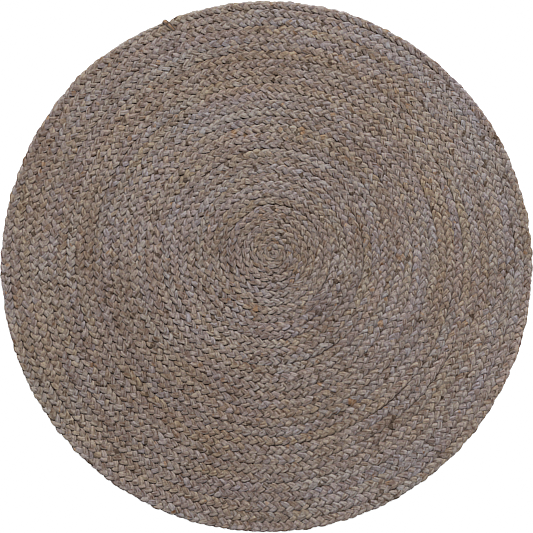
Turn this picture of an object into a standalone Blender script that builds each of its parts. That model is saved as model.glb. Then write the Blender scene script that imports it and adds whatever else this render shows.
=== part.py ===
"""Round jute rug, 1.2 m across: one long three-strand plait, coiled flat and sewn edge to edge.

The rug is a single piece, so it is one closed solid. Its top carries the coil's rounds as ribs,
with the sewn seam between two rounds as a groove, and the rim is the side of the last round.
The underside is flat where it rests on the floor.

Metres, +Z up. The origin is on the floor under the middle of the outline. Seen from above, the
plait winds outward clockwise, and turns are counted from the middle, so that a whole number of
turns lies on the +X axis.
"""

import math

import bpy

# The rug.
DIAMETER = 1.200
THICKNESS = 0.010

# The plait. It is widest in the outer rounds, because its width follows from the rug's radius.
MIDDLE_PLAIT_WIDTH = 0.0185
TURNS = 31 + 41 / 60  # ends at 114 degrees, counter-clockwise from +X
FIRST_TURN = 0.55  # the plait's folded start lies inside this turn

# The middle of the coil is off the middle of the outline, and the rounds drift back outwards.
COIL_MIDDLE_X = 0.0135
COIL_MIDDLE_Y = 0.0270

# A round steps outward by a plait's width within a sector that ends at the tail's angle.
# The sector is wide and the step soft in the middle, and turn by turn they become narrow and full.
MIDDLE_STEP_SHARE = 0.5
MIDDLE_STEP_SECTOR = 0.40  # in turns
OUTER_STEP_SHARE = 1.0
OUTER_STEP_SECTOR = 0.05  # in turns

# Just before its end the last round stands a little proud of the outline.
TAIL_SWELL = 0.0035
TAIL_SWELL_AT = 0.055  # in turns before the end
TAIL_SWELL_WIDTH = 0.035  # in turns

# A round's cross-section.
SEAM_DEPTH = 0.0035
SHOULDER_IN = 0.27  # the rib's two shoulders, as shares of the plait's width
SHOULDER_OUT = 0.73
RIM_HEIGHT = 0.0050
RIM_UNDERCUT = 0.0025

STEPS = 60  # facets in a full turn
FABRIC_COLOUR = (0.205, 0.165, 0.135, 1.0)
FABRIC_ROUGHNESS = 0.95

RADIUS = DIAMETER / 2
RIM_TURN = TURNS - 0.5  # the turn count at which the plait's outer side is the rug's outline
WIDENING = (RADIUS - MIDDLE_PLAIT_WIDTH * RIM_TURN) / RIM_TURN**3


def smooth_step(x):
    """Rises smoothly from 0 at x = 0 to 1 at x = 1."""
    x = min(max(x, 0.0), 1.0)
    return x * x * (3 - 2 * x)


def mix(a, b, share):
    return a + (b - a) * share


def seam_radius(turn):
    """Radius of the plait's outer side, where the next round is sewn on, at a turn count."""
    outer = min(turn / (TURNS - 1), 1.0)
    share = mix(MIDDLE_STEP_SHARE, OUTER_STEP_SHARE, outer)
    sector = mix(MIDDLE_STEP_SECTOR, OUTER_STEP_SECTOR, outer)
    whole = math.floor(turn - TURNS)
    part = turn - TURNS - whole
    stepped = TURNS + 0.5 + whole + smooth_step((part - 1 + sector) / sector)
    count = mix(turn, stepped, share)
    radius = min(MIDDLE_PLAIT_WIDTH * count + WIDENING * count**3, RADIUS)
    swell = (turn - TURNS + TAIL_SWELL_AT) / TAIL_SWELL_WIDTH
    return radius + TAIL_SWELL * math.exp(-swell * swell)


def place(turn, radius, height):
    """A point at a radius about the local middle of the coil, at a turn's angle."""
    angle = -2 * math.pi * turn
    drift = 1 - min(radius / RADIUS, 1) ** 2
    x = COIL_MIDDLE_X * drift + radius * math.cos(angle)
    y = COIL_MIDDLE_Y * drift + radius * math.sin(angle)
    return (x, y, height)


def coil_mesh():
    """The top follows the plait as a strip: seam, two shoulders, seam, at every facet's edge.

    A seam's point is shared by the two rounds that meet there. The first round is a fan about the
    middle, and the last one narrows to nothing at the tail, against the round inside it.
    """
    first = round(FIRST_TURN * STEPS)
    last = round(TURNS * STEPS)
    rim_from = last - STEPS
    points = [place(0, 0, THICKNESS)]
    faces = []

    def add(turn, radius, height):
        points.append(place(turn, radius, height))
        return len(points) - 1

    seam = {}
    for step in range(first, last):
        height = THICKNESS - SEAM_DEPTH if step < rim_from else RIM_HEIGHT
        seam[step] = add(step / STEPS, seam_radius(step / STEPS), height)
    seam[last] = seam[rim_from]

    rib = {}
    for step in range(first + STEPS, last):
        turn = step / STEPS
        inner = seam_radius(turn - 1)
        width = seam_radius(turn) - inner
        shoulders = [inner + width * share for share in (SHOULDER_IN, SHOULDER_OUT)]
        ridge = [add(turn, radius, THICKNESS) for radius in shoulders]
        rib[step] = [seam[step - STEPS], *ridge, seam[step]]
    rib[last] = [seam[last]] * 4

    for step in range(first, first + STEPS - 1):
        faces.append((0, seam[step + 1], seam[step]))
    faces.append((0, *rib[first + STEPS], seam[first + STEPS - 1]))

    for step in range(first + STEPS, last):
        here, there = rib[step], rib[step + 1]
        for a, b, c, d in zip(here, there, there[1:], here[1:]):
            corners = list(dict.fromkeys((a, b, c, d)))
            if len(corners) > 2:
                faces.append(corners)

    foot = {}
    for step in range(rim_from, last):
        turn = step / STEPS
        foot[step] = add(turn, seam_radius(turn) - RIM_UNDERCUT, 0)
    foot[last] = foot[rim_from]
    for step in range(rim_from, last):
        faces.append((seam[step], seam[step + 1], foot[step + 1], foot[step]))
    faces.append([foot[step] for step in range(rim_from, last)])

    mesh = bpy.data.meshes.new("braided_coil")
    mesh.from_pydata(points, [], faces)
    mesh.validate()
    mesh.update()
    mesh.shade_smooth()
    mesh.set_sharp_from_angle(angle=math.radians(50))
    return mesh


def jute():
    """Dull, undyed grey-brown jute."""
    material = bpy.data.materials.new("jute")
    material.use_nodes = True
    shader = material.node_tree.nodes["Principled BSDF"]
    shader.inputs["Base Color"].default_value = FABRIC_COLOUR
    shader.inputs["Roughness"].default_value = FABRIC_ROUGHNESS
    shader.inputs["Metallic"].default_value = 0.0
    return material


def main():
    for existing in list(bpy.data.objects):
        bpy.data.objects.remove(existing)
    coil = bpy.data.objects.new("braided_coil", coil_mesh())
    coil.data.materials.append(jute())
    bpy.context.scene.collection.objects.link(coil)


main()
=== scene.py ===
import math

import bpy
import numpy as np
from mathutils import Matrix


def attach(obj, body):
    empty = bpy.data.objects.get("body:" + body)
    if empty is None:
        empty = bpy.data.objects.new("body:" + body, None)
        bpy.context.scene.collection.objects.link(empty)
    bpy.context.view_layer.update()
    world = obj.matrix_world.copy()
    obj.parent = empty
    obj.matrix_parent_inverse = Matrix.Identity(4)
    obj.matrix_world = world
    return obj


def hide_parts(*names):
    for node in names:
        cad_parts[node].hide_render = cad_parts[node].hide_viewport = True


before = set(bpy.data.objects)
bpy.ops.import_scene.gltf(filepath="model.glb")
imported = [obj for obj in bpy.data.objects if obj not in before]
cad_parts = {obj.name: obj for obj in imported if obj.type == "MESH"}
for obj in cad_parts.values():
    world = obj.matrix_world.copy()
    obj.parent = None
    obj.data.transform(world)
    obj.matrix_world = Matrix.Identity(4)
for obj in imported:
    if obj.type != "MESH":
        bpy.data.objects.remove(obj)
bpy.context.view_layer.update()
print("frame loaded, nodes:", len(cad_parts))


# Camera straight above the middle of the rug, image top towards +Y.
shot = {
    "lens": 85,
    "sensor": 36,
    "frameWidth": 1.2044,  # metres of rug across the picture
    "height": 0.005,  # where those metres are measured
    "nudge": (0.0004, 0.0003),  # the rug's middle in the picture
    "crispness": 0.14,  # how much the finished picture is sharpened
    "crispBelow": 0.62,  # and how light it still sees a thing
    "gamma": 2.2,  # from light to what a screen shows
}

# A big soft lamp beyond the top of the picture, a pale room and a pale floor.
lighting = {
    "lampPlace": (0.8, 4.9, 6.4),
    "lampAim": (5.0, 1.0, 0.0),  # turned a little to the right
    "lampSize": 2.8,
    "lampPower": 1085,
    "room": 0.42,
    "roomColour": (1.0, 1.0, 1.0),
    "floorReach": 6.0,
    "floorColour": (0.93, 0.93, 0.93),
    "floorRoughness": 0.9,
    "floorGlow": 0.8,  # it gives light itself, so hardly any shadow shows on it
}

nodeGap = (230, 290)  # from one column of nodes to the next, and from row to row


def putInScene(name, data):
    # a new object at the origin, unturned and unscaled
    thing = bpy.data.objects.new(name, data)
    bpy.context.scene.collection.objects.link(thing)
    return thing


def placeCamera():
    # as high over the rug as the frame's width times the lens over the sensor
    lens = bpy.data.cameras.new("shotCamera")
    lens.lens = shot["lens"]
    lens.sensor_width = shot["sensor"]
    camera = putInScene("shotCamera", lens)
    distance = shot["frameWidth"] * shot["lens"] / shot["sensor"]
    x, y = shot["nudge"]
    camera.location = (-x, -y, distance + shot["height"])
    bpy.context.scene.camera = camera


def hangLamp():
    # the lamp's -Z axis is turned from its place towards what it is aimed at
    lamp = bpy.data.lights.new("softLamp", "AREA")
    lamp.shape = "DISK"
    lamp.size = lighting["lampSize"]
    lamp.energy = lighting["lampPower"]
    hung = putInScene("softLamp", lamp)
    way = np.subtract(lighting["lampAim"], lighting["lampPlace"])
    tilt = math.atan2(math.hypot(way[0], way[1]), -way[2])
    hung.location = lighting["lampPlace"]
    hung.rotation_euler = (tilt, 0, math.atan2(-way[0], way[1]))


def paintRoom():
    # one even colour all round, and colours shown as they are
    room = bpy.data.worlds.new("paleRoom")
    room.use_nodes = True
    air = room.node_tree.nodes["Background"]
    air.inputs["Color"].default_value = (*lighting["roomColour"], 1)
    air.inputs["Strength"].default_value = lighting["room"]
    bpy.context.scene.world = room
    bpy.context.scene.view_settings.view_transform = "Standard"


def layFloor():
    # a square that reaches equally far on all sides
    mesh = bpy.data.meshes.new("paleFloor")
    edge = lighting["floorReach"]
    corners = [(-edge, -edge, 0), (edge, -edge, 0), (edge, edge, 0), (-edge, edge, 0)]
    mesh.from_pydata(corners, [], [(0, 1, 2, 3)])
    paint = bpy.data.materials.new("paleFloor")
    paint.use_nodes = True
    shader = paint.node_tree.nodes["Principled BSDF"]
    shader.inputs["Base Color"].default_value = (*lighting["floorColour"], 1)
    shader.inputs["Roughness"].default_value = lighting["floorRoughness"]
    shader.inputs["Emission Color"].default_value = (1, 1, 1, 1)
    shader.inputs["Emission Strength"].default_value = lighting["floorGlow"]
    mesh.materials.append(paint)
    putInScene("paleFloor", mesh)


def sharpenPicture():
    # the picture as it is shown plus a share of what a 3 x 3 sharpening adds, where the sharpening
    # sees the floor no lighter than the lightest yarn, so that no dark line runs along the rim
    scene = bpy.context.scene
    scene.use_nodes = True
    tree = scene.node_tree
    tree.nodes.clear()

    def placed(kind):
        # each node stands to the right of the last
        node = tree.nodes.new(kind)
        node.location = (len(tree.nodes) * nodeGap[0], 0)
        return node

    def blended(way, first, second):
        node = placed("CompositorNodeMixRGB")
        node.blend_type = way
        tree.links.new(first, node.inputs[1])
        if isinstance(second, float):
            node.inputs[2].default_value = (second, second, second, 1)
        else:
            tree.links.new(second, node.inputs[2])
        return node.outputs[0]

    def curved(source, gamma):
        node = placed("CompositorNodeGamma")
        node.inputs["Gamma"].default_value = gamma
        tree.links.new(source, node.inputs["Image"])
        return node.outputs["Image"]

    picture = placed("CompositorNodeRLayers").outputs["Image"]
    shown = curved(blended("DARKEN", picture, 1.0), 1 / shot["gamma"])
    dimmed = blended("DARKEN", shown, shot["crispBelow"])
    sharpening = placed("CompositorNodeFilter")
    sharpening.filter_type = "SHARPEN"
    sharpening.inputs["Fac"].default_value = shot["crispness"]
    tree.links.new(dimmed, sharpening.inputs["Image"])
    added = blended("SUBTRACT", sharpening.outputs["Image"], dimmed)
    crisp = curved(blended("ADD", shown, added), shot["gamma"])
    tree.links.new(crisp, placed("CompositorNodeComposite").inputs["Image"])


placeCamera()
hangLamp()
paintRoom()
layFloor()
sharpenPicture()
print("camera, lamp and floor set")


# The coil that the plait lies in. Turns are counted clockwise from +X, as in the solid.
coil = {
    "radius": 0.600,
    "start": 0.36,  # the plait's folded start, in turns
    "turns": 32 + 41 / 60,  # its end
    "runsOn": 0.0045,  # and how far it goes on under its folded end
    "innerWidth": 0.0185,  # the plait's width in the inner rounds
    "crowding": 3.2,  # over about so many turns the first rounds are pulled tight
    "middle": (0.0135, 0.0270),  # the first round lies off the middle of the outline
    "stepShare": (0.5, 1.0),  # how much of a round's growth comes in one sector: middle, rim
    "stepSector": (0.40, 0.05),  # that sector's width in turns
    "stepBefore": 0.55,  # the step's share before the plait's end, the rest is just after it
    "stepAfter": 0.012,
    "tailSwell": 0.0035,  # the last round stands proud before its end
    "tailSwellAt": 0.055,
    "tailSwellWidth": 0.035,
    "samples": 60000,  # points along it
}

# The three-strand plait. Widths and heights are for a plait of the first width given here.
plait = {
    "width": 0.0195,
    "sizeRange": (0.25, 1.1),  # narrowest and widest, as shares of that width
    "stitch": (0.0191, 0.0176),  # one stitch's length along the plait: middle, rim
    "shortening": (0.8, 0.15),  # below this share of the width it gets shorter, by this power
    "overlap": (0.0027, 0.0032),  # neighbouring rounds press into each other: middle, rim
    "rimOverlap": 0.0010,  # and the last one's outer side has nothing to press into
    "rimFrom": (1.02, 0.04),  # from so many turns before the end, eased in over so many
    "seamSlack": 0.0016,  # here and there both sides stand back from a seam
    "slackCurve": (0.30, 2, -0.9),  # metres from bend to bend, scale and shift of that curve
    # and at these turns, over so much of a turn
    "openSeams": ((6.70, 0.13), (8.07, 0.06), (12.0, 0.06), (18.0, 0.05)),
    "squareness": -0.02,  # above 0 a strand crosses steeply and runs on along the edge
    "middleHeight": 0.005,
    "flatness": 1.3,  # a narrow plait is as thin as its share of the width times this
    "floorGap": 0.0002,  # nothing lies lower than this
    "lift": 0.0017,  # how far a strand goes up and down
    "dive": 0.16,  # above 0 it comes up and goes down more steeply than a sine
    "lead": 0.30,  # how many radians that runs ahead of the strand's swings
    "fullWidth": 0.0068,  # half the strand's width at a stitch's head
    "edgeWidth": (0.0064, 0.0060),  # and where it turns at the plait's edge: middle, rim
    "fullHeight": 0.0031,  # half its height, likewise
    "edgeHeight": 0.0033,
    "fullness": 0.72,  # 1 makes the strand's section an ellipse, less a squarer one
    "headShare": 2.2,  # how much the fullest place lies towards the stitch's head
    "rings": 20,  # rings in a full weave of a strand, which is two stitches seen from above
    "ringsAtTurns": 0.35,  # how much closer they stand where the strand turns
    "sides": 7,
    "twist": 22.0,  # radians a metre
    "mapRows": 36,
    "seed": 31,  # each use adds a number of its own
}

# How uneven the plaiting is: by how much, and after how far that changes.
uneven = {
    "length": (0.09, 0.22),  # share of the stitch's length, metres of plait
    "yarn": (0.10, 0.13),  # thick and thin stretches: share of the width, metres
    "width": (0.25, 0.5),  # share of the width, stitches
    "fine": (0.05, 0.8),  # the same in small, radians of the weave
    "phase": (0.22, 0.5),  # radians of the weave, stitches
    "side": (0.0010, 0.7),  # metres, stitches
    "height": (0.0007, 0.5),
}

# Where the rug is lighter or darker, and warmer or greyer, than elsewhere. Each place has its
# angle in degrees, its distance from the middle, how far it reaches round and across, how much
# lighter it is, or darker below 0, and how much warmer, or greyer below 0.
places = (
    (0, 0.000, 400, 0.100, -0.06, -0.25),
    (0, 0.030, 90, 0.040, -0.12, -0.20),
    (150, 0.105, 24, 0.030, -0.24, -0.25),
    (155, 0.145, 20, 0.030, -0.12, 0.20),
    (38, 0.150, 10, 0.030, -0.08, 0.00),
    (225, 0.140, 14, 0.020, 0.12, -0.10),
    (322, 0.165, 20, 0.040, -0.26, -0.25),
    (105, 0.165, 35, 0.020, 0.13, -0.05),
    (90, 0.190, 32, 0.025, 0.13, -0.05),
    (262, 0.195, 25, 0.025, 0.13, -0.20),
    (215, 0.190, 20, 0.025, 0.10, -0.10),
    (235, 0.222, 10, 0.018, -0.10, -0.10),
    (191, 0.240, 8, 0.020, -0.11, 0.10),
    (65, 0.260, 22, 0.030, 0.11, -0.20),
    (316, 0.260, 8, 0.020, -0.12, 0.00),
    (240, 0.290, 12, 0.050, -0.10, 0.00),
    (350, 0.285, 14, 0.020, -0.12, 0.10),
    (164, 0.310, 15, 0.045, 0.08, -0.30),
    (272, 0.345, 10, 0.030, -0.10, 0.20),
    (117, 0.350, 26, 0.045, 0.24, -0.50),
    (70, 0.360, 22, 0.050, 0.08, -0.20),
    (222, 0.380, 30, 0.060, -0.16, 0.15),
    (170, 0.410, 12, 0.025, -0.08, 0.20),
    (25, 0.425, 22, 0.060, 0.14, 0.20),
    (112, 0.440, 45, 0.045, 0.02, 0.40),
    (163, 0.438, 6, 0.025, -0.12, 0.10),
    (308, 0.450, 6, 0.018, -0.20, 0.20),
    (303, 0.465, 14, 0.030, -0.09, 0.00),
    (198, 0.468, 5, 0.020, -0.16, 0.20),
    (16, 0.485, 12, 0.035, 0.14, -0.30),
    (59, 0.490, 11, 0.040, -0.13, 0.20),
    (186, 0.490, 15, 0.022, -0.14, 0.30),
    (104, 0.495, 9, 0.030, 0.10, -0.10),
    (333, 0.530, 12, 0.045, 0.13, -0.20),
    (290, 0.530, 22, 0.045, 0.04, -0.40),
    (312, 0.550, 10, 0.030, 0.09, -0.20),
    (210, 0.545, 14, 0.030, 0.12, -0.10),
    (28, 0.550, 30, 0.040, 0.07, -0.45),
    (72, 0.560, 12, 0.040, 0.12, -0.05),
    (132, 0.550, 8, 0.035, 0.12, -0.30),
    (146, 0.570, 8, 0.030, -0.22, 0.20),
    (232, 0.570, 12, 0.030, 0.13, 0.05),
    (92, 0.585, 10, 0.020, 0.20, 0.00),
    (45, 0.600, 50, 0.020, -0.16, 0.00),
)

# Single stitches that stand out: angle, distance, and above 0 rusty or below 0 dark with bark.
flecks = (
    (99, 0.300, 1.0),
    (104, 0.310, 0.8),
    (75, 0.315, 0.9),
    (52, 0.305, 0.7),
    (4, 0.300, 0.7),
    (256, 0.100, 0.9),
    (81, 0.129, 0.6),
    (96, 0.119, 0.6),
    (71, 0.121, 0.5),
    (351, 0.066, 0.7),
    (126, 0.097, -0.7),
    (294, 0.290, 0.8),
    (302, 0.360, 0.9),
    (333, 0.290, 0.7),
    (133, 0.285, -1.0),
    (269, 0.570, -0.9),
    (37, 0.265, -1.0),
    (1, 0.395, -0.8),
    (309, 0.450, -0.9),
    (207, 0.215, -0.7),
    (130, 0.425, -0.7),
)
fleckSize = 0.008  # how far one reaches


def placeTones(points):
    # tone and warmth at each point: the sum of its places' bell curves, round and across; then the
    # sum of the flecks' flat-topped bell curves
    angle = np.degrees(np.arctan2(points[:, 1], points[:, 0]))
    away = np.hypot(points[:, 0], points[:, 1])
    sums = np.zeros((len(points), 3))
    for place, distance, reach, across, tone, warmth in places:
        turned = (angle - place + 180) % 360 - 180
        bell = np.exp(-((turned / reach) ** 2) - ((away - distance) / across) ** 2)
        sums += bell[:, None] * (tone, warmth, 0)
    for place, distance, strength in flecks:
        x = points[:, 0] - distance * math.cos(math.radians(place))
        y = points[:, 1] - distance * math.sin(math.radians(place))
        sums[:, 2] += strength * np.exp(-(((x * x + y * y) / fleckSize**2) ** 2))
    return sums


def ease(x):
    # 0 up to x = 0, 1 from x = 1, and 3x^2 - 2x^3 between
    x = np.clip(x, 0, 1)
    return x * x * (3 - 2 * x)


def wander(where, spacing, seed):
    # smooth random curve from -1 to 1: a seeded value at every spacing, eased from each to the next
    cell = where / spacing
    low = np.floor(cell).astype(int)
    values = np.random.default_rng(seed).uniform(-1, 1, low.max() + 2)
    return values[low] + (values[low + 1] - values[low]) * ease(cell - low)


def follow(where, marks, path):
    # the path's points at given places between its marks, in straight lines from mark to mark
    return np.stack([np.interp(where, marks, column) for column in path.T], -1)


def lengthAlong(path):
    # metres from the path's start to each of its points
    return np.concatenate([[0], np.cumsum(np.linalg.norm(np.diff(path, axis=0), axis=1))])


def seamRadius(turn):
    # radius of the plait's outer side: width times a count of rounds plus a cubic term that widens
    # the outer ones, where the count rises partly evenly and partly in one eased step a round, and
    # the pulled-tight first rounds take up one round less than their number
    outer = np.minimum(turn / (coil["turns"] - 1), 1)
    share = np.interp(outer, (0, 1), coil["stepShare"])
    sector = np.interp(outer, (0, 1), coil["stepSector"])
    whole = np.floor(turn - coil["turns"])
    part = turn - coil["turns"] - whole
    before = coil["stepBefore"] * ease((part - 1 + sector) / sector)
    after = (1 - coil["stepBefore"]) * (1 - ease(part / coil["stepAfter"]))
    # between two steps it stays at the round's mean
    stepped = coil["turns"] + 0.5 + whole + before - after
    count = turn + (stepped - turn) * share - 1 + np.exp(-turn / coil["crowding"])
    rounds = coil["turns"] - 1.5  # the count along the last round
    widening = (coil["radius"] - coil["innerWidth"] * rounds) / rounds**3
    radius = np.minimum(coil["innerWidth"] * count + widening * count**3, coil["radius"])
    swell = (turn - coil["turns"] + coil["tailSwellAt"]) / coil["tailSwellWidth"]
    return radius + coil["tailSwell"] * np.exp(-swell * swell)


def coilPoint(turn, radius):
    # a point at a radius and a clockwise turn, about a middle that drifts back as 1 - (r/R)^2
    drift = 1 - np.minimum(radius / coil["radius"], 1) ** 2
    x = coil["middle"][0] * drift + radius * np.cos(-2 * np.pi * turn)
    y = coil["middle"][1] * drift + radius * np.sin(-2 * np.pi * turn)
    return np.stack([x, y], -1)


def layCoil():
    # midline half way between the inner and the outer seam at the same turn; arc length is summed
    # along it, and the weave's phase grows by a full circle in every three stitches
    turn = np.linspace(coil["start"], coil["turns"] + coil["runsOn"], coil["samples"])
    inner = np.where(turn > 1, seamRadius(np.maximum(turn - 1, 0)), 0)
    outerPoint = coilPoint(turn, seamRadius(turn))
    innerPoint = coilPoint(turn, inner)
    middle = (outerPoint + innerPoint) / 2
    width = np.linalg.norm(outerPoint - innerPoint, axis=1)
    out = coilPoint(turn, np.full_like(turn, coil["radius"])) / coil["radius"]
    run = lengthAlong(middle)
    size = np.clip(width / plait["width"], *plait["sizeRange"])
    below, power = plait["shortening"]
    amount, spacing = uneven["length"]
    stitch = np.interp(turn / coil["turns"], (0, 1), plait["stitch"])
    stitch = stitch * np.minimum(size / below, 1) ** power
    pitch = 3 * stitch * (1 + amount * wander(run, spacing, plait["seed"]))
    phase = np.cumsum(np.diff(run) * 2 * np.pi / ((pitch[1:] + pitch[:-1]) / 2))
    return {
        "turn": turn, "middle": middle, "out": out, "width": width, "size": size, "run": run,
        "phase": np.concatenate([[0], phase]),
    }


def seamOpening(turn):
    # smooth random stretches of seam, plus a bell curve at each chosen turn; none on the rim
    spacing, scale, shift = plait["slackCurve"]
    run = np.pi * coil["innerWidth"] * turn**2
    opening = ease(wander(run, spacing, plait["seed"] + 7) * scale + shift)
    for place, reach in plait["openSeams"]:
        opening = opening + np.exp(-(((turn - place) / reach) ** 2))
    return plait["seamSlack"] * np.minimum(opening, 1) * (turn < coil["turns"] - 1)


def strandCourse(lay, strand):
    # sideways the strand follows sin p + c sin 3p, and in height sin 2p a little early, so it comes
    # up in the middle, lies on top out to the edge, turns down there and goes back underneath; its
    # width is h cos 2p - cos 4p, fullest near the head, with random changes from stitch to stitch
    offset = strand * 2 * np.pi / 3
    first = math.ceil(offset / (2 * np.pi) * plait["rings"])
    last = math.floor((lay["phase"][-1] + offset) / (2 * np.pi) * plait["rings"]) - 1
    ring = np.arange(first, last + 1)
    p = ring * 2 * np.pi / plait["rings"]
    p = p - plait["ringsAtTurns"] / 4 * np.sin(4 * p)
    width, size, run, turn = (
        np.interp(p - offset, lay["phase"], lay[name]) for name in ("width", "size", "run", "turn")
    )
    middle = follow(p - offset, lay["phase"], lay["middle"])
    out = follow(p - offset, lay["phase"], lay["out"])
    seed = plait["seed"] + 10 * strand

    def byStitch(name, number):
        amount, stitches = uneven[name]
        return amount * wander(p, np.pi * stitches, seed + number)

    # how full the strand is: 0 where it turns at the edge, 1 at the stitch's head
    h = plait["headShare"]
    full = (h * np.cos(2 * p) - np.cos(4 * p) + h + 1) / (1 + h * h / 8 + h + 1)
    low = np.minimum(size * plait["flatness"], 1)
    outward = turn / coil["turns"]
    overlap = np.interp(outward, (0, 1), plait["overlap"])
    edge = np.interp(outward, (0, 1), plait["edgeWidth"])
    fat = 1 + byStitch("width", 1) + uneven["fine"][0] * wander(p, uneven["fine"][1], seed + 2)
    fat = fat + uneven["yarn"][0] * wander(run, uneven["yarn"][1], seed + 6)
    halfWidth = (edge + (plait["fullWidth"] - edge) * full) * size * fat
    halfHeight = (plait["edgeHeight"] + (plait["fullHeight"] - plait["edgeHeight"]) * full) * low

    # how far it swings to either side
    slack = seamOpening(turn - (np.sin(p) < 0))
    before, over = plait["rimFrom"]
    rim = ease((turn - coil["turns"] + before) / over) * ease(np.sin(p) * 2)
    reach = width / 2 + overlap * size - slack - edge * size
    reach = reach - (overlap - plait["rimOverlap"]) * rim
    q = p + byStitch("phase", 5)
    c = plait["squareness"]
    side = reach * (np.sin(q) + c * np.sin(3 * q)) / (1 - c)
    side = side + size * byStitch("side", 3)

    # and up and down
    t = 2 * q + plait["lead"]
    wave = (np.sin(t) + plait["dive"] * np.sin(3 * t)) / (1 - plait["dive"])
    height = (plait["middleHeight"] + plait["lift"] * wave + byStitch("height", 4)) * low
    centre = np.column_stack([middle + out * side[:, None], height])
    return {
        "ring": ring, "p": p, "centre": centre, "halfWidth": halfWidth, "halfHeight": halfHeight,
        "along": lengthAlong(centre), "run": run,
    }


def tubeFaces(rings, sides):
    # quads between each ring and the next all the way round, then a cap at either end
    ring = np.arange(rings - 1)[:, None] * sides
    side = np.arange(sides)[None, :]
    after = (side + 1) % sides
    quads = np.stack([ring + side, ring + sides + side, ring + sides + after, ring + after], -1)
    caps = np.stack([np.arange(sides), np.arange(sides)[::-1] + (rings - 1) * sides])
    return quads.reshape(-1, 4), caps


def rowMap(rings, sides, rows):
    # the tube cut into lengths laid as rows of the unit square, one above the other, and the two
    # caps as small rounds in a row of their own, with a margin round each
    endMargin, rowMargin, capRadius = 0.002, 0.06, 0.4
    lanes = rows + 1
    perRow = math.ceil((rings - 1) / rows)
    ring = np.arange(rings - 1)[:, None, None]
    side = np.arange(sides)[None, :, None]
    u = (ring % perRow + np.array([0, 1, 1, 0])) / perRow
    v = (side + np.array([0, 0, 1, 1])) / sides
    v = (ring // perRow + rowMargin + (1 - 2 * rowMargin) * v) / lanes
    u, v = np.broadcast_arrays(endMargin + (1 - 2 * endMargin) * u, v)
    quads = np.stack([u, v], -1).reshape(-1, 2)
    angle = np.arange(sides) * 2 * np.pi / sides
    spot = np.stack([np.cos(angle), np.sin(angle)], -1) * capRadius / lanes
    caps = [spot + [(k + 0.5) / lanes, (rows + 0.5) / lanes] for k in (0, 1)]
    return np.concatenate([quads, *caps])


# The yarn: undyed jute in greyish and tan stretches, with dark and rusty bits of stalk in it.
# Pairs and fours are ranges: what lies from the first to the second goes to 0 to 1, or to the
# other two.
yarnFinish = {
    "grey": (0.149, 0.129, 0.131),
    "taupe": (0.162, 0.125, 0.107),
    "tan": (0.173, 0.124, 0.084),
    "rust": (0.165, 0.098, 0.056),
    "bark": (0.055, 0.035, 0.022),
    "longStretch": (0.38, 0.62),  # grey to tan along the plait
    "strandStretch": (0.40, 0.60),  # along each strand
    "stitchStretch": (0.30, 0.70),  # by the stitch
    "threadStretch": (0.38, 0.62),  # by the bundle of fibres
    "stitchShare": 0.18,  # how much the stitch counts against the plait
    "threadShare": 0.35,  # and the bundle against both
    "mauveCast": (1.00, 0.965, 1.03),  # the bundles of fibres differ in cast
    "oliveCast": (1.00, 1.035, 0.96),
    "cast": (0.39, 0.61),  # from the one to the other
    "castShare": 0.32,  # how much the stretch of plait counts in it
    "rustyStitch": (0.82, 0.88),  # which stitches are rusty
    "rustyThread": (0.40, 0.60, 0.1, 0.8),  # how rusty its bundles of fibres are
    "rustyFleck": (0.2, 0.8),
    "barkSpeck": (0.68, 0.76, 0, 0.75),
    "barkStitch": (0.235, 0.19),  # which stitches are dark with bark
    "barkThread": (0.62, 0.45, 0.2, 0.9),  # and their bundles of fibres
    "barkFleck": (-0.2, -1, 0, 0.75),
    "stitchTone": 0.15,  # how much lighter or darker one stitch is than the next
    "fibreTone": 0.70,  # and one bundle of fibres than the next
    "patchTone": 0.12,  # and one patch of a stitch than the next
    "stretchTone": 0.11,  # and one stretch of the plait than the next
    "areaTone": 0.10,  # and one area of the rug than the next
    "areaWarmth": 0.20,  # the darker areas are warmer, too
    "paintedHollowShade": 0.20,  # painted shade: how much darker the hollows are
    "hollow": (0.45, 0.90),  # from this depth to that
    "paintedSideShade": 0.50,  # painted shade: how much darker the sides of a strand are
    "side": (0.55, 0.10),  # by how far they face up
    "middleShade": 0.25,  # what is left of both painted shades in the tight rounds in the middle
    "middle": (0.02, 0.20),  # from this distance to that
    "paintedRimLight": 1.35,  # painted light: how much lighter the fuzzy rim is, in place of the shade on its sides
    "rim": (-0.8, 0),  # by its reading of depth
    "darkTint": (0.35, 0.19, 0.10),  # the dark parts are warmer than the light ones, and in the painted shade of hollows and sides this warmth is painted light bounced between the strands
    "lightTint": (1.51, 1.618, 1.695),
    "tint": (0.2, 1.6),  # from this shade to that
    "fibreBump": 0.7,
    "fibreHeight": 0.0010,
    "roughness": 0.92,
    "shine": 0.25,
    "sheen": 0.08,
    "sheenRoughness": 0.5,
}

# The noise it is made of: how fine on each axis, then detail and roughness; or how fine along the
# plait's metres or its count of stitches, then detail.
yarnGrain = {
    "fibres": ((60, 480, 480), 4, 0.66),
    "threads": ((35, 330, 330), 2, 0.60),
    "mottle": ((230, 260, 260), 2, 0.50),
    "specks": ((90, 300, 300), 2, 0.50),
    "strand": ((5, 0, 0), 2, 0.60),
    "area": ((5, 5, 5), 3, 0.60),
    "long": (0.55, 4),
    "castAlong": (3.0, 3),
    "drift": (2.1, 3),
    "byStitch": (0.9, 1),
    "toneByStitch": (1.31, 1),
    "bits": (1.37, 0),
}
noiseRange = (0.3, 0.7)  # where nearly all of a noise's values lie

juteYarn = bpy.data.materials.new("juteYarn")
juteYarn.use_nodes = True
yarnTree = juteYarn.node_tree
nodesInColumn = {}  # how many nodes each column has


def fill(socket, value):
    # link a socket, or set it to a number, a vector or a colour
    if isinstance(value, bpy.types.NodeSocket):
        yarnTree.links.new(value, socket)
    elif isinstance(value, tuple) and len(value) < len(socket.default_value):
        socket.default_value = (*value, 1)
    else:
        socket.default_value = value


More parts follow.
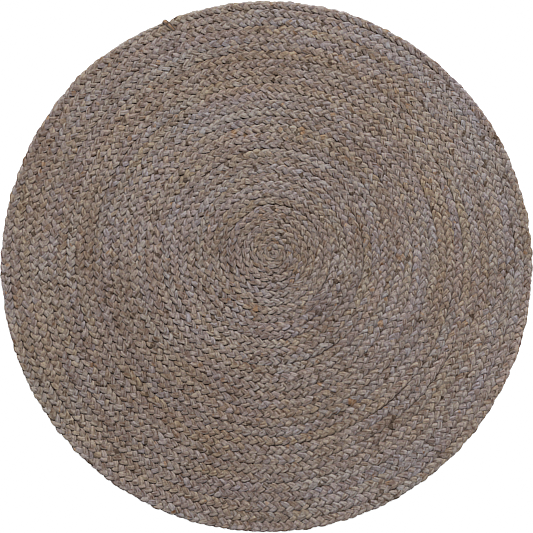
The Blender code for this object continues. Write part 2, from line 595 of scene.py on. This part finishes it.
def addNode(kind, sockets, **settings):
    # a node with its settings and sockets, in the column after the last node that feeds it
    node = yarnTree.nodes.new(kind)
    for name, value in settings.items():
        setattr(node, name, value)
    column = 0
    for slot, value in sockets.items():
        fill(node.inputs[slot], value)
        if isinstance(value, bpy.types.NodeSocket):
            column = max(column, round(value.node.location.x / nodeGap[0]) + 1)
    row = nodesInColumn.get(column, 0)
    nodesInColumn[column] = row + 1
    node.location = (column * nodeGap[0], -row * nodeGap[1])
    return node


def attribute(name):
    # what makePiece gives each point under this name
    return addNode("ShaderNodeAttribute", {}, attribute_name=name).outputs["Vector"]


def axes(vector):
    # its three parts
    return addNode("ShaderNodeSeparateXYZ", {0: vector}).outputs


def noiseIn(vector, name):
    # noise at the vector times the grain's fineness on each axis
    scale, detail, rough = yarnGrain[name]
    finer = addNode("ShaderNodeMapping", {"Vector": vector, "Scale": scale}).outputs["Vector"]
    sockets = {"Vector": finer, "Scale": 1, "Detail": detail, "Roughness": rough}
    return addNode("ShaderNodeTexNoise", sockets).outputs["Fac"]


def noiseAlong(value, name):
    # noise at one number, times its fineness
    scale, detail = yarnGrain[name]
    sockets = {"W": value, "Scale": scale, "Detail": detail}
    return addNode("ShaderNodeTexNoise", sockets, noise_dimensions="1D").outputs["Fac"]


def rangeOf(value, low, high, toLow=0, toHigh=1):
    # the value's part from low to high spread over toLow to toHigh, and held beyond
    sockets = {"Value": value, "From Min": low, "From Max": high, "To Min": toLow, "To Max": toHigh}
    return addNode("ShaderNodeMapRange", sockets).outputs["Result"]


def toneOf(noise, amount):
    # from 1 less the amount to 1 more
    return rangeOf(noise, *noiseRange, 1 - amount, 1 + amount)


def mixed(share, first, second, way="MIX"):
    # from the first to the second by the share, in the node's sockets for colours
    sockets = {0: share, 6: first, 7: second}
    return addNode("ShaderNodeMix", sockets, data_type="RGBA", blend_type=way).outputs[2]


def worked(operation, first, *others):
    # all the values added or multiplied, one after the other
    for other in others:
        first = addNode("ShaderNodeMath", {0: first, 1: other}, operation=operation).outputs[0]
    return first


def yarnHue(read):
    # from grey to taupe or from taupe to tan by the strand's stretch, and from the one pair to the
    # other by plait, stitch, bundle of fibres, place and area; then the cast, rusty bits and bark
    finish = yarnFinish
    long = rangeOf(noiseAlong(read["run"], "long"), *finish["longStretch"])
    stretch = rangeOf(noiseIn(read["yarn"], "strand"), *finish["strandStretch"])
    stitch = rangeOf(noiseAlong(read["stitch"], "byStitch"), *finish["stitchStretch"])
    thread = rangeOf(read["threads"], *finish["threadStretch"])
    share = mixed(finish["threadShare"], mixed(finish["stitchShare"], long, stitch), thread)
    warmth = finish["areaWarmth"]
    area = rangeOf(read["area"], *noiseRange, warmth, -warmth)
    share = worked("ADD", share, read["warmth"], area)
    cool = mixed(stretch, finish["grey"], finish["taupe"])
    warm = mixed(stretch, finish["taupe"], finish["tan"])
    hue = mixed(share, cool, warm)

    cast = mixed(finish["castShare"], read["mottle"], noiseAlong(read["run"], "castAlong"))
    cast = mixed(rangeOf(cast, *finish["cast"]), finish["mauveCast"], finish["oliveCast"])
    hue = mixed(1.0, hue, cast, "MULTIPLY")

    bits = noiseAlong(read["stitch"], "bits")
    rusty = rangeOf(bits, *finish["rustyStitch"])
    rusty = worked("MULTIPLY", rusty, rangeOf(read["threads"], *finish["rustyThread"]))
    hue = mixed(rusty, hue, finish["rust"])
    hue = mixed(rangeOf(read["fleck"], *finish["rustyFleck"]), hue, finish["rust"])
    specks = rangeOf(noiseIn(read["yarn"], "specks"), *finish["barkSpeck"])
    hue = mixed(specks, hue, finish["bark"])
    dark = rangeOf(bits, *finish["barkStitch"])
    dark = worked("MULTIPLY", dark, rangeOf(read["threads"], *finish["barkThread"]))
    hue = mixed(dark, hue, finish["bark"])
    return mixed(rangeOf(read["fleck"], *finish["barkFleck"]), hue, finish["bark"])


def yarnToneAndShade(read):
    # the tones of stitch, fibres, stretch, patch, place and area multiplied with painted shade in
    # the hollows and on the sides, where a side's painted shade goes by the square of how far it
    # faces up, both painted shades count less near the middle of the rug, and the rim has painted
    # light of its own in place of a side's painted shade
    finish = yarnFinish
    stitch = toneOf(noiseAlong(read["stitch"], "toneByStitch"), finish["stitchTone"])
    fibres = toneOf(read["fibres"], finish["fibreTone"])
    stretch = toneOf(noiseAlong(read["run"], "drift"), finish["stretchTone"])
    patch = toneOf(read["mottle"], finish["patchTone"])
    area = toneOf(read["area"], finish["areaTone"])
    place = worked("ADD", read["tone"], 1)

    # painted shade on the sides of the strands, by the square of how far they face up
    up = axes(addNode("ShaderNodeNewGeometry", {}).outputs["Normal"])["Z"]
    side = rangeOf(worked("MULTIPLY", up, up), *finish["side"], 1, 1 - finish["paintedSideShade"])
    # painted shade in the hollows between the stitches, by the depth reading
    hollow = rangeOf(read["depth"], *finish["hollow"], 1, 1 - finish["paintedHollowShade"])
    away = addNode("ShaderNodeVectorMath", {0: read["where"]}, operation="LENGTH").outputs["Value"]
    # less of the painted hollow and side shade in the tight rounds in the middle
    shaded = rangeOf(away, *finish["middle"], finish["middleShade"], 1)
    white = (1.0, 1.0, 1.0)
    side = mixed(shaded, white, side)
    hollow = mixed(shaded, white, hollow)
    # painted light on the rim, in place of the sides' painted shade
    side = mixed(rangeOf(read["depth"], *finish["rim"]), (finish["paintedRimLight"],) * 3, side)
    hollow = worked("MULTIPLY", hollow, side)
    return worked("MULTIPLY", stitch, fibres, hollow, stretch, patch, place, area)


def paintYarn():
    # the hue times a tint that goes with the tone and painted shade from dark and warm to light
    finish = yarnFinish
    yarn = attribute("yarn")
    stitch, run, depth = axes(attribute("weave"))
    tone, warmth, fleck = axes(attribute("lot"))
    where = addNode("ShaderNodeTexCoord", {}).outputs["Object"]
    read = {
        "yarn": yarn, "stitch": stitch, "run": run, "depth": depth, "tone": tone,
        "warmth": warmth, "fleck": fleck, "where": where, "area": noiseIn(where, "area"),
        "fibres": noiseIn(yarn, "fibres"), "threads": noiseIn(yarn, "threads"),
        "mottle": noiseIn(yarn, "mottle"),
    }
    hue = yarnHue(read)
    share = rangeOf(yarnToneAndShade(read), *finish["tint"])
    tint = mixed(share, finish["darkTint"], finish["lightTint"])
    colour = mixed(1.0, hue, tint, "MULTIPLY")
    bump = addNode("ShaderNodeBump", {
        "Height": read["fibres"], "Strength": finish["fibreBump"],
        "Distance": finish["fibreHeight"],
    })

    shader = yarnTree.nodes["Principled BSDF"]
    shader.inputs["Roughness"].default_value = finish["roughness"]
    shader.inputs["Specular IOR Level"].default_value = finish["shine"]
    shader.inputs["Sheen Weight"].default_value = finish["sheen"]
    shader.inputs["Sheen Roughness"].default_value = finish["sheenRoughness"]
    fill(shader.inputs["Base Color"], colour)
    fill(shader.inputs["Normal"], bump.outputs["Normal"])
    shader.location = (colour.node.location.x + nodeGap[0], 0)
    yarnTree.nodes["Material Output"].location = (shader.location.x + 2 * nodeGap[0], 0)


paintYarn()
print("yarn's material made")


def makePiece(name, points, quads, caps, uvs, readings):
    # one piece from its corner points, its four-sided faces and its caps, with its own UV map and
    # what the yarn's material reads at each point
    mesh = bpy.data.meshes.new(name)
    mesh.vertices.add(len(points))
    mesh.vertices.foreach_set("co", points.astype(np.float32).ravel())
    corners = np.concatenate([quads.ravel(), caps.ravel()])
    counts = np.concatenate([np.full(len(quads), 4), np.full(len(caps), caps.shape[1])])
    starts = np.concatenate([[0], np.cumsum(counts)[:-1]])
    mesh.loops.add(len(corners))
    mesh.loops.foreach_set("vertex_index", corners.astype(np.int32))
    mesh.polygons.add(len(counts))
    mesh.polygons.foreach_set("loop_start", starts.astype(np.int32))
    mesh.polygons.foreach_set("use_smooth", np.ones(len(counts), bool))
    mesh.update(calc_edges=True)
    ownMap = mesh.uv_layers.new(name="OFBake")
    ownMap.data.foreach_set("uv", uvs.astype(np.float32).ravel())
    for label, values in readings.items():
        data = mesh.attributes.new(label, "FLOAT_VECTOR", "POINT")
        data.data.foreach_set("vector", values.astype(np.float32).ravel())
    mesh.materials.append(juteYarn)
    piece = putInScene(name, mesh)
    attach(piece, "root")
    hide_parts("braided_coil")


# How the material's readings are laid out.
reading = {
    "strandApart": 70,  # metres from one strand's yarn to the next one's in the noise
    "countApart": 4000,  # and in stitches
    "countFrom": 0.25,  # the count changes where a strand lies underneath
    "radius": 0.004,  # the yarn's in the noise
    "rimFrom": 0.590,  # from here on a point counts as the rim's, which the material paints lighter
    "rimWidth": 0.008,
}


def makeTube(name, course, sides, rows, yarn, fleck=0.0):
    # a squarish ellipse carried along the course: its long axis lies level and square to the
    # course, its short one stands on it, and the corners go round it from the level axis upwards
    centre = course["centre"]
    rings = len(centre)
    ahead = np.gradient(centre, axis=0)
    ahead /= np.linalg.norm(ahead, axis=1)[:, None]
    level = np.column_stack([ahead[:, 1], -ahead[:, 0], np.zeros(rings)])
    level /= np.linalg.norm(level, axis=1)[:, None]
    up = np.cross(level, ahead)
    angle = np.arange(sides) * 2 * np.pi / sides
    flat = np.sign(np.cos(angle)) * np.abs(np.cos(angle)) ** plait["fullness"]
    stand = np.sign(np.sin(angle)) * np.abs(np.sin(angle)) ** plait["fullness"]
    wide = course["halfWidth"][:, None, None] * flat[None, :, None] * level[:, None]
    tall = course["halfHeight"][:, None, None] * stand[None, :, None] * up[:, None]
    points = centre[:, None] + wide + tall
    points[..., 2] = np.maximum(points[..., 2], plait["floorGap"])

    # the material reads metres along the strand with the place round it, then the count of
    # stitches, metres along the plait, and how deep between the stitches a point lies, which it
    # darkens as painted shade, or -1 on the rim, which it lightens as painted light, then the tone
    # and warmth of the place, and its flecks
    along = course["along"] + reading["strandApart"] * yarn
    count = course["p"] / np.pi + reading["countFrom"] + reading["countApart"] * yarn
    turned = angle[None, :] + plait["twist"] * course["along"][:, None]
    around = np.ones((rings, sides))
    away = np.hypot(points[..., 0], points[..., 1])
    depth = 1 - np.abs(points[..., 2] - plait["middleHeight"]) / plait["middleHeight"]
    rim = ease((away - reading["rimFrom"]) / reading["rimWidth"])
    depth = np.clip(depth, 0, 1) * (1 - rim) - rim
    lot = placeTones(centre) + (0, 0, fleck)
    beside, above = reading["radius"] * np.cos(turned), reading["radius"] * np.sin(turned)
    readings = {
        "yarn": np.stack([along[:, None] * around, beside, above], -1),
        "weave": np.stack([count[:, None] * around, course["run"][:, None] * around, depth], -1),
        "lot": lot[:, None] * around[..., None],
    }
    quads, caps = tubeFaces(rings, sides)
    uvs = rowMap(rings, sides, rows)
    makePiece(name, points.reshape(-1, 3), quads, caps, uvs, readings)


def makePlait(lay):
    # each strand is made as two lengths that meet where it is lowest, under the other two
    for strand, letter in enumerate("ABC"):
        course = strandCourse(lay, strand)
        rings = len(course["p"])
        lowest = np.flatnonzero(course["ring"] % plait["rings"] == 3 * plait["rings"] // 8)
        cut = lowest[np.argmin(np.abs(lowest - rings // 2))]
        for part, chosen in (("inner", slice(0, cut + 1)), ("outer", slice(cut, rings))):
            length = {name: values[chosen] for name, values in course.items()}
            name = "strand" + letter + "_" + part
            makeTube(name, length, plait["sides"], plait["mapRows"], strand)
        print("strand", letter, "plaited:", round(float(course["along"][-1]), 1), "m")


lay = layCoil()
print("coil laid:", round(float(lay["run"][-1]), 2), "m of plait")
makePlait(lay)


# The dark sewing thread that holds each round to the next, low in the seam between them.
sewing = {
    "start": 0.8,  # in turns
    "step": 0.012,
    "halfWidth": 0.0026,
    "halfHeight": 0.0011,
    "height": 0.0040,
    "wave": 0.0006,  # it goes up at one step and down at the next
    "radian": 0.006,  # metres of it to a radian of the weave, for the count of stitches
    "sides": 3,
    "mapRows": 24,
    "yarn": 4,  # which strand's yarn it counts as in the noise
}


def makeSeamThread():
    # a flat tube along the outer side of every round but the last, at even steps of its length
    turn = np.linspace(sewing["start"], coil["turns"] - 1, coil["samples"])
    seam = coilPoint(turn, seamRadius(turn))
    run = lengthAlong(seam)
    along = np.arange(0, run[-1], sewing["step"])
    height = sewing["height"] + sewing["wave"] * np.cos(np.pi * np.arange(len(along)))
    course = {
        "centre": np.column_stack([follow(along, run, seam), height]), "along": along,
        "run": along, "p": along / sewing["radian"],
        "halfWidth": np.full(len(along), sewing["halfWidth"]),
        "halfHeight": np.full(len(along), sewing["halfHeight"]),
    }
    makeTube("seamThread", course, sewing["sides"], sewing["mapRows"], sewing["yarn"])


makeSeamThread()
print("seams sewn")


# The plait's end: its three strands turned over the rim and tucked in.
tail = {
    "path": (
        (-0.2350, 0.5545, 0.0030),
        (-0.2300, 0.5535, 0.0080),
        (-0.2180, 0.5425, 0.0108),
        (-0.2075, 0.5320, 0.0088),
    ),
    "spread": 0.0030,  # from strand to strand
    "spreadShare": (0.6, 0.5),  # of that at the ends, and what the middle has more
    "middleLift": 0.0006,  # the strand in the middle lies higher
    "halfWidth": 0.0026,
    "halfHeight": 0.0018,
    "endShare": 0.55,  # of the thickness, at both ends
    "radian": 0.006,
    "rings": 12,
    "sides": 7,
    "flecks": (-1.0, 0.7, -0.9),  # strand by strand, as above
    "yarn": 5,  # the first strand's in the noise
}


def makeTail():
    # each strand goes straight from place to place of the path, with every point averaged with its
    # neighbours, beside the next strand, and is thinner at both ends by the root of half a sine
    path = np.array(tail["path"])
    share = np.linspace(0, 1, tail["rings"])
    line = follow(share * (len(path) - 1), np.arange(len(path)), path)
    line[1:-1] = (line[:-2] + 2 * line[1:-1] + line[2:]) / 4
    ahead = path[-1] - path[0]
    across = np.array([ahead[1], -ahead[0], 0]) / math.hypot(ahead[0], ahead[1])
    wave = np.sin(np.pi * share)
    thick = tail["endShare"] + (1 - tail["endShare"]) * np.maximum(wave, 0) ** 0.5
    atEnds, more = tail["spreadShare"]
    for strand, letter in enumerate("ABC"):
        beside = (strand - 1) * tail["spread"] * (atEnds + more * wave)
        centre = line + across * beside[:, None]
        centre[:, 2] += tail["middleLift"] * (strand == 1)
        along = lengthAlong(centre)
        course = {
            "centre": centre, "along": along, "run": along + strand, "p": along / tail["radian"],
            "halfWidth": tail["halfWidth"] * thick, "halfHeight": tail["halfHeight"] * thick,
        }
        name = "tailEnd" + letter
        yarn, fleck = tail["yarn"] + strand, tail["flecks"][strand]
        makeTube(name, course, tail["sides"], 1, yarn, fleck)


makeTail()
print("plait's end tucked in")


# Loose ends of fibre that lie on the plait, and some that stand out at the rim.
fuzz = {
    "count": 1500,
    "onRim": 260,  # how many of them are at the rim
    "from": 0.05,  # metres along the plait
    "rimReach": (0.01, 3.7),  # metres before the plait's end
    "across": 0.5,  # where they lie on the plait, as shares of its width either way
    "rimAcross": 0.44,
    "length": (0.009, 0.026),
    "halfWidth": 0.00022,
    "endShare": 0.35,  # of the thickness, at both ends
    "slant": 0.45,  # about how far they turn from the plait's direction, in radians
    "rimSlant": (0.6, 0.1),  # times this and more by that, always outwards
    "height": 0.0085,
    "rimHeight": (0.003, 0.0075),
    "arch": 0.0022,  # how high the middle of one stands over its ends
    "archRange": (0.6, 1.3),
    "bend": 0.0016,  # and about how far to the side
    "rings": 6,
    "sides": 3,
    "tone": 0.50,  # how much lighter they are than the plait
    "stitches": 31.7,  # to a metre in the noise
    "depth": -0.5,  # what they give for the depth, half way to the rim's, so they get no painted hollow shade and part of the rim's painted light
    "mapGrid": (50, 30),
    "mapMargin": 0.02,
    "seed": 12,
}


def fuzzCourses(lay):
    # each fibre follows a straight line at a random place and slant, bent sideways and upwards by
    # half a sine; those on the rim start in the plait and point out of it
    random = np.random.default_rng(fuzz["seed"])
    count, rimCount = fuzz["count"], fuzz["onRim"]
    where = random.uniform(fuzz["from"], lay["run"][-1], count)
    where[:rimCount] = lay["run"][-1] - random.uniform(*fuzz["rimReach"], rimCount)
    middle = follow(where, lay["run"], lay["middle"])
    out = follow(where, lay["run"], lay["out"])
    width = np.interp(where, lay["run"], lay["width"])
    atRim = np.arange(count) < rimCount
    across = random.uniform(-fuzz["across"], fuzz["across"], count)
    across = np.where(atRim, fuzz["rimAcross"], across) * width
    times, more = fuzz["rimSlant"]
    slant = random.normal(0, fuzz["slant"], count)
    slant = np.where(atRim, np.abs(slant) * times + more, slant)
    forward = np.column_stack([out[:, 1], -out[:, 0]]) * random.choice([-1, 1], count)[:, None]
    ahead = forward * np.cos(slant)[:, None] + out * np.sin(slant)[:, None]
    beside = np.column_stack([ahead[:, 1], -ahead[:, 0]])
    length = random.uniform(*fuzz["length"], count)
    low = np.where(atRim, random.uniform(*fuzz["rimHeight"], count), fuzz["height"])
    bend = random.normal(0, fuzz["bend"], count)
    arch = random.uniform(*fuzz["archRange"], count) * fuzz["arch"] * ~atRim

    share = np.linspace(0, 1, fuzz["rings"])
    wave = np.sin(np.pi * share)
    stretch = length[:, None] * (share - np.where(atRim, 0.0, 0.5)[:, None])
    start = middle + out * across[:, None]
    flat = start[:, None] + ahead[:, None] * stretch[..., None]
    flat = flat + beside[:, None] * (bend[:, None] * wave)[..., None]
    centre = np.concatenate([flat, (low[:, None] + arch[:, None] * wave)[..., None]], -1)
    return where, stretch, centre, beside


def makeFuzz(lay):
    # a small tube along each fibre's course, thinner at both ends by half a sine; every fibre's
    # map has a cell of its own in the unit square
    where, stretch, centre, beside = fuzzCourses(lay)
    count, rings, sides = fuzz["count"], fuzz["rings"], fuzz["sides"]
    wave = np.sin(np.pi * np.linspace(0, 1, rings))
    thick = fuzz["halfWidth"] * (fuzz["endShare"] + (1 - fuzz["endShare"]) * wave)
    angle = np.arange(sides) * 2 * np.pi / sides
    level = np.column_stack([beside, np.zeros(count)])[:, None, None]
    ring = level * np.cos(angle)[:, None] + np.array([0, 0, 1]) * np.sin(angle)[:, None]
    points = centre[:, :, None] + ring * thick[None, :, None, None]

    first = np.arange(count)[:, None] * rings * sides
    quads, caps = tubeFaces(rings, sides)
    quads = (quads.reshape(1, -1) + first).reshape(-1, 4)
    caps = (caps.reshape(1, -1) + first).reshape(-1, sides)

    grid, margin = fuzz["mapGrid"], fuzz["mapMargin"]
    cell = np.stack([np.arange(count) % grid[0], np.arange(count) // grid[0]], -1)[:, None]
    uvs = (cell + margin + (1 - 2 * margin) * rowMap(rings, sides, 1)[None]) / grid
    split = (rings - 1) * sides * 4
    uvs = np.concatenate([uvs[:, :split].reshape(-1, 2), uvs[:, split:].reshape(-1, 2)])

    around = np.ones((count, rings, sides))
    run = where[:, None, None] * around
    tones = placeTones(centre[:, 0]) * (1, 1, 0) + (fuzz["tone"], 0, 0)
    radius = reading["radius"]
    readings = {
        "yarn": np.stack([run + stretch[..., None], radius * around, radius / 2 * around], -1),
        "weave": np.stack([run * fuzz["stitches"], run, fuzz["depth"] * around], -1),
        "lot": tones[:, None, None] * around[..., None],
    }
    makePiece("looseFibres", points.reshape(-1, 3), quads, caps, uvs, readings)


makeFuzz(lay)
print("loose fibres laid")
